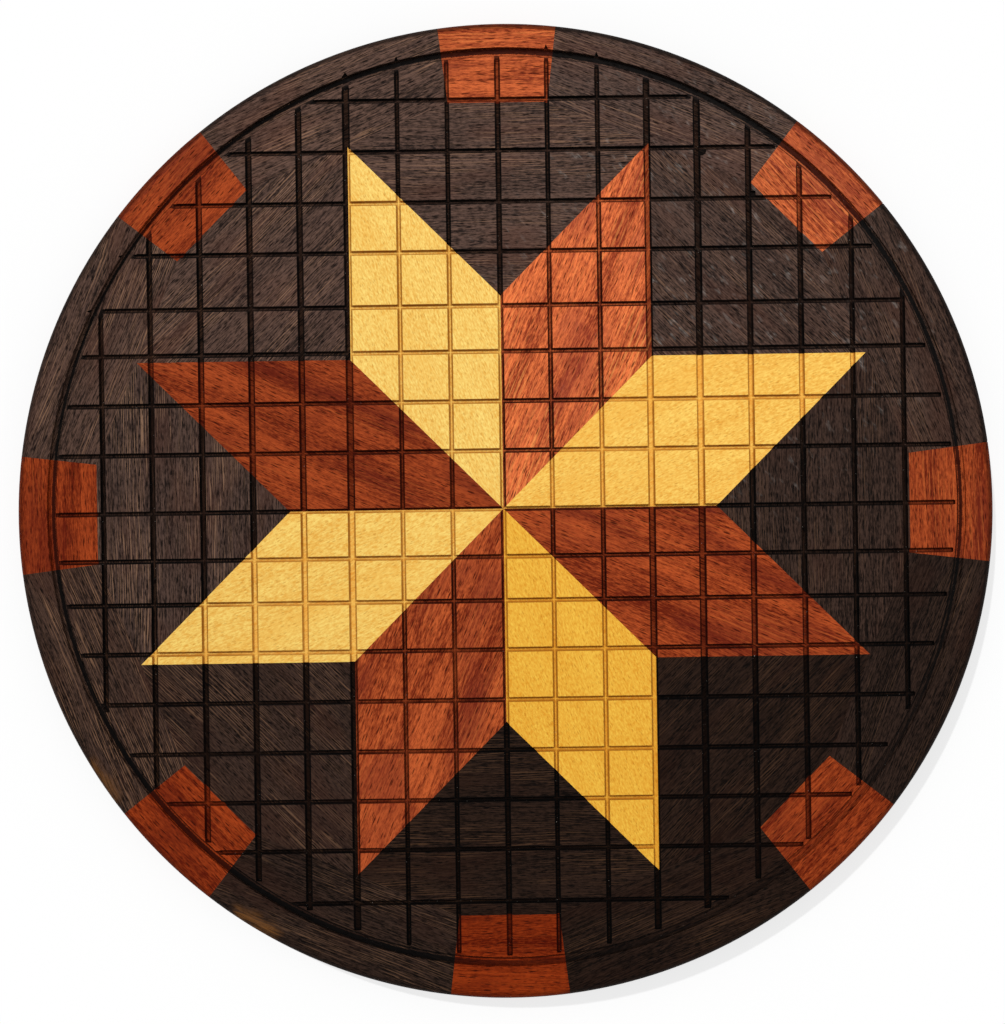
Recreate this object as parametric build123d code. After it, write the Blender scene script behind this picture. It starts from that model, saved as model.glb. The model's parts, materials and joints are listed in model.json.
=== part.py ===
from build123d import *
import math
import os

# Round inlaid game board, playing face up, standing on its rubber feet at Z = 0.
# The origin is the middle of the round outline, on the table. All sizes are in millimetres.

# The board
BOARD_RADIUS = 247.3
BOARD_THICKNESS = 19.0
TOP_ROUNDOVER = 4.0
ROUNDOVER_FLATS = 2
FOOT_HEIGHT = 4.0
UNDERSIDE_Z = FOOT_HEIGHT
PLAYING_Z = FOOT_HEIGHT + BOARD_THICKNESS

# The glue-up: an eight-pointed star, infill between its points, rim blocks and keystones.
# Its centre lies a little off the round outline's, because the circle was cut after gluing.
LAYOUT_CENTRE = Vector(-1.1, 1.1)
PITCH = 25.4
STAR_SQUARES = 3
STAR_SIDE = STAR_SQUARES * PITCH * math.sqrt(2)
SECTOR = 45.0
TIP_RADIUS = 2 * STAR_SIDE * math.cos(math.radians(SECTOR / 2))
KEYSTONE_HALF_ANGLE = 7.0
BLOCK_HALF_ANGLE = SECTOR / 2 - KEYSTONE_HALF_ANGLE
CORNER_RADIUS = TIP_RADIUS / math.cos(math.radians(BLOCK_HALF_ANGLE))
PAST_RIM_RADIUS = 1.2 * BOARD_RADIUS

# The playing grid: grooves run by hand along a straightedge, so none sits quite on its inch mark.
# Distances are from the layout centre, columns left to right and rows bottom to top. The middle column
# and row follow the glue seams. A row took one pass of the cutter. Most columns took a second pass
# beside the first, so each has a width of its own, given after its distance.
CUTTER_WIDTH = 2.1
COLUMNS = (
    (-201.9, 2.4), (-177.0, 2.6), (-151.6, 2.8), (-126.2, 2.9), (-100.8, 3.0), (-76.7, 3.5),
    (-50.8, CUTTER_WIDTH), (-25.6, CUTTER_WIDTH), (0.0, 2.6), (24.9, CUTTER_WIDTH), (50.3, 2.2),
    (75.1, 3.2), (100.3, 3.3), (126.0, 2.8), (151.7, 2.6), (177.5, 2.4), (202.9, 2.4),
)
ROWS = (
    -198.1, -171.6, -146.7, -121.8, -96.4, -71.1, -46.3, -24.1, 0.0,
    29.4, 54.4, 79.5, 102.6, 130.0, 155.1, 180.9, 206.7,
)
GRID_DEPTH = 1.8

# The grooves end square, a little short of the ring groove at the bottom and right, and run into it at
# the top and left. Those listed by number run past it there to a point, where the cutter was lifted late.
STOP_SHORT = 0.9
OVERRUN = 7.0
POINT_LENGTH = 2.5
TOP_OVERRUNS = (5, 6, 9, 10)
LEFT_OVERRUNS = (12, 13, 14)

# The ring groove that frames the grid, swung from a centre of its own. The board lay a little out of
# level under the cutter, so that the ring is deepest at the upper left and shallowest at the lower right.
RING_CENTRE = Vector(0.5, 2.0)
RING_INNER_RADIUS = 227.5
RING_OUTER_RADIUS = 232.0
RING_DEEPEST = 3.0
RING_SHALLOWEST = 0.9
RING_DEEPEST_ANGLE = 135.0

# Slips of the cutter beside two crossings in the upper right.
PLUNGE_MARK = {"place": Vector(102.6, 179.2), "radius": 2.4, "depth": 2.3}
NICK = {"place": Vector(128.3, 157.3), "side": 2.6, "depth": 1.4}

# Loose tongues of thin plywood, glued into stopped slots across the seams. Each slot is as thick as its
# tongue, and a little longer and deeper to leave room for glue.
TONGUE_THICKNESS = 4.0
TONGUE_Z = UNDERSIDE_Z + (BOARD_THICKNESS - TONGUE_THICKNESS) / 2
STAR_TONGUE = (46.0, 20.0)
RIM_TONGUE = (34.0, 14.0)
SLOT_ROOM = 1.0

# Square tapered rubber feet, stuck under every other rim block.
FOOT_SECTORS = (0, 2, 4, 6)
FOOT_PLACE_RADIUS = 222.0
FOOT_SIDE = 15.0
FOOT_TAPER = 20.0

SIDES = ("east", "northeast", "north", "northwest", "west", "southwest", "south", "southeast")
BETWEEN = ("ene", "nne", "nnw", "wnw", "wsw", "ssw", "sse", "ese")


def polar(radius, angle):
    """The point of the glue-up at a radius and an angle in degrees from its centre."""
    return LAYOUT_CENTRE + Vector(radius, 0).rotate(Axis.Z, angle)


def prism(points, bottom=UNDERSIDE_Z, height=BOARD_THICKNESS):
    """An upright block whose outline is the polygon through the points."""
    outline = make_face(Polyline(*points, close=True))
    return Pos(0, 0, bottom) * extrude(outline, height)


def turned_disc():
    """The round board before it is split, its top edge rounded over in narrow flats."""
    centre = Vector(BOARD_RADIUS - TOP_ROUNDOVER, PLAYING_Z - TOP_ROUNDOVER)
    step = 90 / ROUNDOVER_FLATS
    corners = range(ROUNDOVER_FLATS + 1)
    rounded = [centre + Vector(TOP_ROUNDOVER, 0).rotate(Axis.Z, step * corner) for corner in corners]
    side = Polyline(
        (0, UNDERSIDE_Z),
        (BOARD_RADIUS, UNDERSIDE_Z),
        *rounded,
        (0, PLAYING_Z),
        close=True,
    )
    return revolve(Plane.XZ * make_face(side), Axis.Z)


def star_point(sector):
    """One diamond of the star, from the centre out to its tip."""
    start = sector * SECTOR
    return prism([
        polar(0, 0),
        polar(STAR_SIDE, start),
        polar(TIP_RADIUS, start + SECTOR / 2),
        polar(STAR_SIDE, start + SECTOR),
    ])


def infill(sector):
    """The five-sided block between two points of the star."""
    middle = sector * SECTOR
    return prism([
        polar(STAR_SIDE, middle),
        polar(TIP_RADIUS, middle - SECTOR / 2),
        polar(CORNER_RADIUS, middle - KEYSTONE_HALF_ANGLE),
        polar(CORNER_RADIUS, middle + KEYSTONE_HALF_ANGLE),
        polar(TIP_RADIUS, middle + SECTOR / 2),
    ])


def rim_wedge(middle, half_angle, disc):
    """A piece of the rim: straight inside, along the round outline outside."""
    wedge = prism([
        polar(CORNER_RADIUS, middle - half_angle),
        polar(PAST_RIM_RADIUS, middle - half_angle),
        polar(PAST_RIM_RADIUS, middle + half_angle),
        polar(CORNER_RADIUS, middle + half_angle),
    ])
    return wedge & disc


def groove(low, high, width, pointed):
    """A flat-bottomed groove along X from low to high, its low end square or cut to a point."""
    half = width / 2
    outline = [(high, half), (high, -half)]
    if pointed:
        outline += [(low + POINT_LENGTH, -half), (low, 0), (low + POINT_LENGTH, half)]
    else:
        outline += [(low, -half), (low, half)]
    return prism(outline, PLAYING_Z - GRID_DEPTH, 2 * GRID_DEPTH)


def run_of_groove(offset, runs_past):
    """Where a groove at an offset from the ring's centre starts, in the ring's far side, and stops."""
    half = math.sqrt(RING_INNER_RADIUS ** 2 - offset ** 2)
    into_ring = (RING_OUTER_RADIUS - RING_INNER_RADIUS) / 2
    return -half - (OVERRUN if runs_past else into_ring), half - STOP_SHORT


def grid_grooves():
    """All the straight grooves of the playing grid."""
    grooves = []
    for index, (distance, width) in enumerate(COLUMNS):
        x = LAYOUT_CENTRE.X + distance
        runs_past = index in TOP_OVERRUNS
        run = run_of_groove(x - RING_CENTRE.X, runs_past)
        grooves.append(Pos(x, RING_CENTRE.Y) * Rot(0, 0, -90) * groove(*run, width, runs_past))
    for index, distance in enumerate(ROWS):
        y = LAYOUT_CENTRE.Y + distance
        runs_past = index in LEFT_OVERRUNS
        run = run_of_groove(y - RING_CENTRE.Y, runs_past)
        grooves.append(Pos(RING_CENTRE.X, y) * groove(*run, CUTTER_WIDTH, runs_past))
    return grooves


def ring_groove():
    """The round groove that frames the playing grid: upright walls and a floor a little out of level."""
    depth = (RING_DEEPEST + RING_SHALLOWEST) / 2
    fall = math.degrees(math.atan((RING_DEEPEST - RING_SHALLOWEST) / (2 * RING_OUTER_RADIUS)))
    size = 3 * RING_OUTER_RADIUS
    below_floor = Box(size, size, size, align=(Align.CENTER, Align.CENTER, Align.MAX))
    below_floor = Pos(0, 0, -depth) * Rot(0, 0, RING_DEEPEST_ANGLE) * Rot(0, fall, 0) * below_floor
    ring = extrude(Circle(RING_OUTER_RADIUS) - Circle(RING_INNER_RADIUS), 3 * RING_DEEPEST)
    cut = Pos(0, 0, -2 * RING_DEEPEST) * ring - below_floor
    return Pos(RING_CENTRE.X, RING_CENTRE.Y, PLAYING_Z) * cut


def cutter_slips():
    """The round plunge mark and the square nick."""
    mark = Cylinder(PLUNGE_MARK["radius"], 2 * PLUNGE_MARK["depth"])
    nick = Box(NICK["side"], NICK["side"], 2 * NICK["depth"])
    mark_place = LAYOUT_CENTRE + PLUNGE_MARK["place"]
    nick_place = LAYOUT_CENTRE + NICK["place"]
    return [
        Pos(mark_place.X, mark_place.Y, PLAYING_Z) * mark,
        Pos(nick_place.X, nick_place.Y, PLAYING_Z) * nick,
    ]


def tongue(size, room=0.0):
    """A loose tongue lying across a seam that runs along X, or its slot with room round it."""
    length, width = size
    outline = Rectangle(length + 2 * room, width + room)
    return Pos(0, 0, TONGUE_Z) * extrude(outline, TONGUE_THICKNESS)


def along(start, end):
    """The place at the middle of a seam, turned along it."""
    middle = (start + end) / 2
    run = end - start
    return Pos(middle.X, middle.Y) * Rot(0, 0, math.degrees(math.atan2(run.Y, run.X)))


def tongue_places():
    """Where each family of tongues lies, by node name, with its size."""
    families = {
        "tongues_between_points": (STAR_TONGUE, []),
        "tongues_point_to_infill": (STAR_TONGUE, []),
        "tongues_infill_to_rim_block": (RIM_TONGUE, []),
        "tongues_infill_to_keystone": (RIM_TONGUE, []),
    }
    for sector in range(len(SIDES)):
        middle = sector * SECTOR
        notch = polar(STAR_SIDE, middle)
        families["tongues_between_points"][1].append(along(polar(0, 0), notch))
        corners = [polar(CORNER_RADIUS, middle + side * KEYSTONE_HALF_ANGLE) for side in (-1, 1)]
        families["tongues_infill_to_keystone"][1].append(along(*corners))
        for side, corner in zip((-1, 1), corners):
            tip = polar(TIP_RADIUS, middle + side * SECTOR / 2)
            families["tongues_point_to_infill"][1].append(along(notch, tip))
            families["tongues_infill_to_rim_block"][1].append(along(corner, tip))
    return families


def feet():
    """The rubber feet, in place, each with a side square to the board's edge."""
    foot = Pos(0, 0, FOOT_HEIGHT) * extrude(Rectangle(FOOT_SIDE, FOOT_SIDE), -FOOT_HEIGHT, taper=FOOT_TAPER)
    return [Rot(0, 0, (sector + 0.5) * SECTOR) * Pos(FOOT_PLACE_RADIUS, 0) * foot for sector in FOOT_SECTORS]


def overlaps(piece_box, tool_box):
    """Whether two boxes meet, so that a cut is worth making."""
    apart = (
        piece_box.max.X < tool_box.min.X or tool_box.max.X < piece_box.min.X
        or piece_box.max.Y < tool_box.min.Y or tool_box.max.Y < piece_box.min.Y
    )
    return not apart


def machined(piece, cuts):
    """The piece with every cut that reaches it taken away."""
    piece_box = piece.bounding_box()
    reaching = [cut for cut in cuts if overlaps(piece_box, cut.bounding_box())]
    return piece - reaching


def write(node, shape):
    """Writes one piece, or one group of like pieces, as its own file."""
    shape.label = node
    export_step(shape, os.path.join("parts", node + ".step"))


def wood_pieces():
    """Every wooden block of the glue-up, by node name, before it is machined."""
    disc = turned_disc()
    pieces = {}
    for sector, (side, between) in enumerate(zip(SIDES, BETWEEN)):
        middle = sector * SECTOR
        wood = "red" if sector % 2 else "yellow"
        pieces["star_point_" + wood + "_" + between] = star_point(sector)
        pieces["infill_" + side] = infill(sector)
        pieces["rim_block_" + between] = rim_wedge(middle + SECTOR / 2, BLOCK_HALF_ANGLE, disc)
        pieces["keystone_" + side] = rim_wedge(middle, KEYSTONE_HALF_ANGLE, disc)
    return pieces


def main():
    """Builds the board and writes its parts."""
    os.makedirs("parts", exist_ok=True)
    families = tongue_places()
    slots = [place * tongue(size, SLOT_ROOM) for size, places in families.values() for place in places]
    cuts = grid_grooves() + [ring_groove()] + cutter_slips() + slots
    for node, piece in wood_pieces().items():
        write(node, machined(piece, cuts))
    for node, (size, places) in families.items():
        write(node, Compound(children=[place * tongue(size) for place in places]))
    write("rubber_feet", Compound(children=feet()))


main()
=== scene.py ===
import json
import logging
import math
import random
from dataclasses import dataclass, field, replace
from enum import Enum

import bpy
from mathutils import Euler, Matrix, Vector

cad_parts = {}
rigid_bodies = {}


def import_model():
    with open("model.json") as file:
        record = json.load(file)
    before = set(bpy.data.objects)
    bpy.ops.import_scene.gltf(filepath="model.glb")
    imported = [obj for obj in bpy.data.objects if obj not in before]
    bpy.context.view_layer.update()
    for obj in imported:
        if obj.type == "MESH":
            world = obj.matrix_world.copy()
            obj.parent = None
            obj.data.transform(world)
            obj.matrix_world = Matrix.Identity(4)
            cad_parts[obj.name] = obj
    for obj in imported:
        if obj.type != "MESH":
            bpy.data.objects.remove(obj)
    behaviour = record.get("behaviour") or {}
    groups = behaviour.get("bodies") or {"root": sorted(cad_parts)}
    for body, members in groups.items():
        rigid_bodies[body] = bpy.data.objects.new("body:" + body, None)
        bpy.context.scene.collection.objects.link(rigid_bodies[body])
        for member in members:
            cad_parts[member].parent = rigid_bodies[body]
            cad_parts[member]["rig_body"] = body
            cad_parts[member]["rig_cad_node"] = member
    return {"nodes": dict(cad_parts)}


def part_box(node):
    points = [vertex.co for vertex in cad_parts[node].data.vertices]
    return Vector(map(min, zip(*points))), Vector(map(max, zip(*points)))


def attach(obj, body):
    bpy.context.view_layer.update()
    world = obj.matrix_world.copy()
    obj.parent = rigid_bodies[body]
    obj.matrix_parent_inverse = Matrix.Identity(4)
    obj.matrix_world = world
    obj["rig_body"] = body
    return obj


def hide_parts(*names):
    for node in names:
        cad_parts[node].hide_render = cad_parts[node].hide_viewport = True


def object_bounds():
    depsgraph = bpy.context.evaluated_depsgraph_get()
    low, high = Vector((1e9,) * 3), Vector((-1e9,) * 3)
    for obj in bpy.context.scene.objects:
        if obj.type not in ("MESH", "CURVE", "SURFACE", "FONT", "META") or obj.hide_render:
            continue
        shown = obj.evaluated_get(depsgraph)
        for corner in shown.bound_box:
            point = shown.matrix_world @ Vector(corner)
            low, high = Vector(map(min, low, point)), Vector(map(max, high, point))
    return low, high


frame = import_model()
cad_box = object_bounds()

# The looks of a round inlaid game board, seen from straight above on a white floor. The solids come
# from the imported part, in metres. Wood figure and grooves are worked out in millimetres.

log = logging.getLogger("board")
Colour = tuple[float, float, float, float]
Socket = bpy.types.NodeSocket
MILLIMETRE = 0.001


def screen(red: int, green: int, blue: int) -> Colour:
    """Turns a colour as a screen shows it, 0 to 255 a channel, into linear light.

    Args:
        red: Red channel.
        green: Green channel.
        blue: Blue channel.

    Returns:
        The linear colour with full alpha.
    """
    channels = (channel / 255 for channel in (red, green, blue))
    mixed = (c / 12.92 if c <= 0.04045 else ((c + 0.055) / 1.055) ** 2.4 for c in channels)
    return (*mixed, 1.0)


class Direction(Enum):
    """Which way a piece's grain runs, measured from the line out from the board's centre."""

    OUTWARD = 0.0
    ACROSS = 90.0


@dataclass(frozen=True)
class RoutedGrid:
    """The grooves in the playing face, as the part has them, in millimetres.

    Attributes:
        centre: Where the glue-up's centre lies.
        pitch: The mean distance from groove to groove.
        cutter: Width of the cutter, and so of a groove cut in one pass.
        columns: Each column groove's distance from the centre and its width, left to right.
        rows: Each row groove's distance from the centre, bottom to top.
        ring_centre: Where the ring groove was swung from.
        ring_radius: Radius of the middle of the ring groove.
        ring_width: Width of the ring groove.
        deepest: Depth of the deepest cut.
    """

    centre: tuple[float, float] = (-1.1, 1.1)
    pitch: float = 25.4
    cutter: float = 2.1
    columns: tuple[tuple[float, float], ...] = (
        (-201.9, 2.4), (-177.0, 2.6), (-151.6, 2.8), (-126.2, 2.9), (-100.8, 3.0), (-76.7, 3.5),
        (-50.8, cutter), (-25.6, cutter), (0.0, 2.6), (24.9, cutter), (50.3, 2.2),
        (75.1, 3.2), (100.3, 3.3), (126.0, 2.8), (151.7, 2.6), (177.5, 2.4), (202.9, 2.4),
    )
    rows: tuple[float, ...] = (
        -198.1, -171.6, -146.7, -121.8, -96.4, -71.1, -46.3, -24.1, 0.0,
        29.4, 54.4, 79.5, 102.6, 130.0, 155.1, 180.9, 206.7,
    )
    ring_centre: tuple[float, float] = (0.5, 2.0)
    ring_radius: float = 229.75
    ring_width: float = 4.5
    deepest: float = 3.0


class Graph:
    """Adds nodes to one node tree and joins them in plain calls."""

    def __init__(self, tree: bpy.types.NodeTree) -> None:
        """Keeps the tree.

        Args:
            tree: The material's or the group's node tree.
        """
        self.tree = tree

    def feed(self, socket: Socket, value: object) -> None:
        """Joins a socket to another, or sets it to a plain value."""
        if isinstance(value, bpy.types.NodeSocket):
            self.tree.links.new(value, socket)
        else:
            socket.default_value = value

    def add(self, kind: str, inputs: dict | None = None, **settings: object) -> bpy.types.Node:
        """Adds a node.

        Args:
            kind: The node's type name.
            inputs: What goes into its sockets, by name or number.
            **settings: The node's own settings.

        Returns:
            The new node.
        """
        node = self.tree.nodes.new(kind)
        for name, value in settings.items():
            setattr(node, name, value)
        for key, value in (inputs or {}).items():
            self.feed(node.inputs[key], value)
        return node

    def math(self, operation: str, *values: object, clamp: bool = False) -> Socket:
        """Adds a Math node and returns its output."""
        node = self.add("ShaderNodeMath", dict(enumerate(values)), operation=operation, use_clamp=clamp)
        return node.outputs[0]

    def times(self, *factors: object) -> Socket:
        """Multiplies two or more values, in their order."""
        product, *others = factors
        for factor in others:
            product = self.math("MULTIPLY", product, factor)
        return product

    def minus(self, value: object, less: object) -> Socket:
        """Subtracts one value from another."""
        return self.math("SUBTRACT", value, less)

    def fade(
        self, value: Socket, start: object, end: object, low: object = 0.0, high: object = 1.0
    ) -> Socket:
        """Adds a smooth step.

        Args:
            value: What is read.
            start: Where the step starts.
            end: Where it ends.
            low: The result before the start.
            high: The result past the end.

        Returns:
            The stepped value.
        """
        inputs = {"Value": value, "From Min": start, "From Max": end, "To Min": low, "To Max": high}
        node = self.add("ShaderNodeMapRange", inputs, interpolation_type="SMOOTHSTEP")
        return node.outputs["Result"]

    def vector(self, operation: str, *vectors: object, result: str = "Vector") -> Socket:
        """Adds a Vector Math node and returns its vector or, for a result of Value, its number."""
        node = self.add("ShaderNodeVectorMath", dict(enumerate(vectors)), operation=operation)
        return node.outputs[result]

    def stretch(self, vector: Socket, sizes: tuple[object, object, object]) -> Socket:
        """Divides a vector's X, Y and Z each by a size in millimetres."""
        inverse = [self.math("DIVIDE", 1.0, size) for size in sizes]
        scale = self.add("ShaderNodeCombineXYZ", dict(enumerate(inverse)))
        return self.vector("MULTIPLY", vector, scale.outputs[0])

    def noise(self, vector: Socket, sizes: tuple, detail: float = 2.0, rough: float = 0.5) -> Socket:
        """Adds a noise whose blotches have the given sizes in millimetres.

        Args:
            vector: Where it is read.
            sizes: The blotches' length along X, Y and Z.
            detail: How many finer layers it has.
            rough: How strong the finer layers are.

        Returns:
            The noise, from 0 to 1 and mostly near 0.5.
        """
        inputs = {"Vector": self.stretch(vector, sizes), "Scale": 1.0, "Detail": detail, "Roughness": rough}
        return self.add("ShaderNodeTexNoise", inputs).outputs[0]

    def drift(self, vector: Socket, sizes: tuple, detail: float) -> Socket:
        """Adds a noise of the given sizes that lies around 0."""
        return self.minus(self.noise(vector, sizes, detail), 0.5)

    def mix(self, factor: object, first: object, second: object, blend: str = "MIX") -> Socket:
        """Mixes two colours and returns the mixed one."""
        node = self.add("ShaderNodeMix", data_type="RGBA", blend_type=blend)
        self.feed(node.inputs["Factor"], factor)
        self.feed(node.inputs[6], first)
        self.feed(node.inputs[7], second)
        return node.outputs[2]

    def apart(self, vector: Socket) -> tuple[Socket, Socket, Socket]:
        """Splits a vector into X, Y and Z."""
        outputs = self.add("ShaderNodeSeparateXYZ", {0: vector}).outputs
        return outputs[0], outputs[1], outputs[2]

    def bump(self, shader: bpy.types.Node, height: Socket, depth: float) -> None:
        """Bumps a shader's surface by a height, where a height of 1 is a depth in millimetres."""
        inputs = {"Height": height, "Distance": depth * MILLIMETRE, "Strength": 1.0}
        self.feed(shader.inputs["Normal"], self.add("ShaderNodeBump", inputs).outputs[0])


class Effect:
    """A shader node group with named inputs and outputs, built once and placed in many materials."""

    def __init__(self, name: str, inputs: dict[str, tuple[str, object]], outputs: dict[str, str]) -> None:
        """Makes the empty group.

        Args:
            name: The group's name.
            inputs: Kind and first value of each input.
            outputs: Kind of each output.
        """
        self.tree = bpy.data.node_groups.new(name, "ShaderNodeTree")
        for title, (kind, value) in inputs.items():
            socket = self.tree.interface.new_socket(title, in_out="INPUT", socket_type="NodeSocket" + kind)
            if value is not None:
                socket.default_value = value
        for title, kind in outputs.items():
            self.tree.interface.new_socket(title, in_out="OUTPUT", socket_type="NodeSocket" + kind)
        self.graph = Graph(self.tree)
        self.inputs = self.graph.add("NodeGroupInput").outputs
        self.outputs = self.graph.add("NodeGroupOutput").inputs

    def give(self, **results: Socket) -> None:
        """Joins results to the outputs of the same names."""
        for title, socket in results.items():
            self.graph.feed(self.outputs[title], socket)

    def place(self, graph: Graph, values: dict[str, object]) -> bpy.types.Node:
        """Puts the group in a material.

        Args:
            graph: The material's graph.
            values: What goes into the group's inputs.

        Returns:
            The group's node there.
        """
        node = graph.add("ShaderNodeGroup", node_tree=self.tree)
        for title, value in values.items():
            graph.feed(node.inputs[title], value)
        return node


class PlanedTimber(Effect):
    """Figure, fine lines, fibres and open pores of a planed board whose grain runs along X.

    Attributes:
        band_height: How far the harder bands stand proud, in millimetres.
        pore_depth: How deep the pores are, in millimetres.
    """

    band_height = 0.05
    pore_depth = 0.12

    def __init__(self) -> None:
        """Builds the group."""
        numbers = (
            "Waviness", "Figure", "Bands", "Band Pitch", "Fibres", "Mottle", "Lines", "Line Pitch",
            "Patches", "Pore Length", "Pore Width", "Pores",
        )
        colours = ("Dark", "Light", "Line", "Patch", "Pore")
        inputs = {"Vector": ("Vector", None)}
        inputs |= {title: ("Float", 1.0) for title in numbers}
        inputs |= {title: ("Color", (0.5, 0.5, 0.5, 1.0)) for title in colours}
        super().__init__("planed_timber", inputs, {"Colour": "Color", "Height": "Float", "Open": "Float"})
        graph, given = self.graph, self.inputs
        place = self.swayed(given["Vector"])
        pitch = given["Band Pitch"]
        tone = self.swing(0.5, graph.noise(place, (90.0, 11.0, 11.0), 3.0), given["Figure"])
        bands = graph.noise(place, (60.0, pitch, pitch), 2.0, 0.6)
        tone = self.swing(tone, bands, given["Bands"])
        tone = self.swing(tone, graph.noise(place, (4.5, 0.6, 0.6), 2.0, 0.7), given["Fibres"])
        tone = self.swing(tone, graph.noise(place, (2.0, 0.9, 0.9), 2.0), given["Mottle"])
        colour = graph.mix(graph.math("ADD", tone, 0.0, clamp=True), given["Dark"], given["Light"])
        patches = graph.fade(graph.noise(given["Vector"], (60.0, 22.0, 22.0), 2.0), 0.48, 0.68)
        colour = graph.mix(graph.times(patches, given["Patches"]), colour, given["Patch"])
        lines = graph.math("MULTIPLY", self.lines(place), given["Lines"], clamp=True)
        colour = graph.mix(lines, colour, given["Line"])
        opened = graph.math("MULTIPLY", self.pores(place), given["Pores"], clamp=True)
        colour = graph.mix(opened, colour, given["Pore"])
        raised = graph.times(graph.minus(bands, 0.5), self.band_height)
        height = graph.minus(raised, graph.times(opened, self.pore_depth))
        self.give(Colour=colour, Height=height, Open=opened)

    def swayed(self, place: Socket) -> Socket:
        """Bends the straight grain sideways a little, as in a real board."""
        graph = self.graph
        sway = graph.times(graph.drift(place, (160.0, 45.0, 45.0), 1.0), self.inputs["Waviness"])
        shift = graph.add("ShaderNodeCombineXYZ", {1: sway}).outputs[0]
        return graph.vector("ADD", place, shift)

    def swing(self, tone: object, noise: Socket, strength: Socket) -> Socket:
        """Moves a tone up and down with a noise.

        Args:
            tone: The tone so far.
            noise: The noise, mostly near 0.5.
            strength: How far it moves the tone.

        Returns:
            The moved tone.
        """
        around = self.graph.minus(noise, 0.5)
        wide = self.graph.times(around, 2.5)
        return self.graph.math("MULTIPLY_ADD", wide, strength, tone)

    def lines(self, place: Socket) -> Socket:
        """Thin pale lines along the grain, nearly evenly apart, stronger in some stretches."""
        graph = self.graph
        _, across, up = graph.apart(place)
        level = graph.math("MULTIPLY_ADD", up, 0.6, across)
        wander = graph.noise(place, (70.0, 4.0, 4.0), 2.0)
        moved = graph.math("MULTIPLY_ADD", wander, 4.5, level)
        phase = graph.times(graph.math("DIVIDE", moved, self.inputs["Line Pitch"]), math.tau)
        crest = graph.fade(graph.math("SINE", phase), 0.15, 0.95)
        strong = graph.fade(graph.noise(place, (70.0, 14.0, 14.0), 2.0), 0.44, 0.6, 0.2, 1.0)
        broken = graph.fade(graph.noise(place, (16.0, 0.9, 0.9), 1.0), 0.34, 0.6)
        return graph.times(crest, strong, broken)

    def pores(self, place: Socket) -> Socket:
        """Dashes along the grain, at most one in each cell, long and short."""
        graph, given = self.graph, self.inputs
        deepest = None
        for share in (1.0, 0.5):
            length = graph.times(given["Pore Length"], share)
            width = graph.times(given["Pore Width"], share)
            cells = graph.stretch(place, (length, width, width))
            voronoi = graph.add("ShaderNodeTexVoronoi", {"Vector": cells, "Scale": 1.0, "Randomness": 1.0})
            chance = graph.apart(voronoi.outputs["Color"])[0]
            reach = graph.fade(chance, 0.1, 0.85, 0.0, 0.42)
            dash = graph.fade(voronoi.outputs["Distance"], reach, graph.times(reach, 0.4))
            dash = graph.times(dash, share)
            deepest = dash if deepest is None else graph.math("MAXIMUM", deepest, dash)
        return deepest


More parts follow.
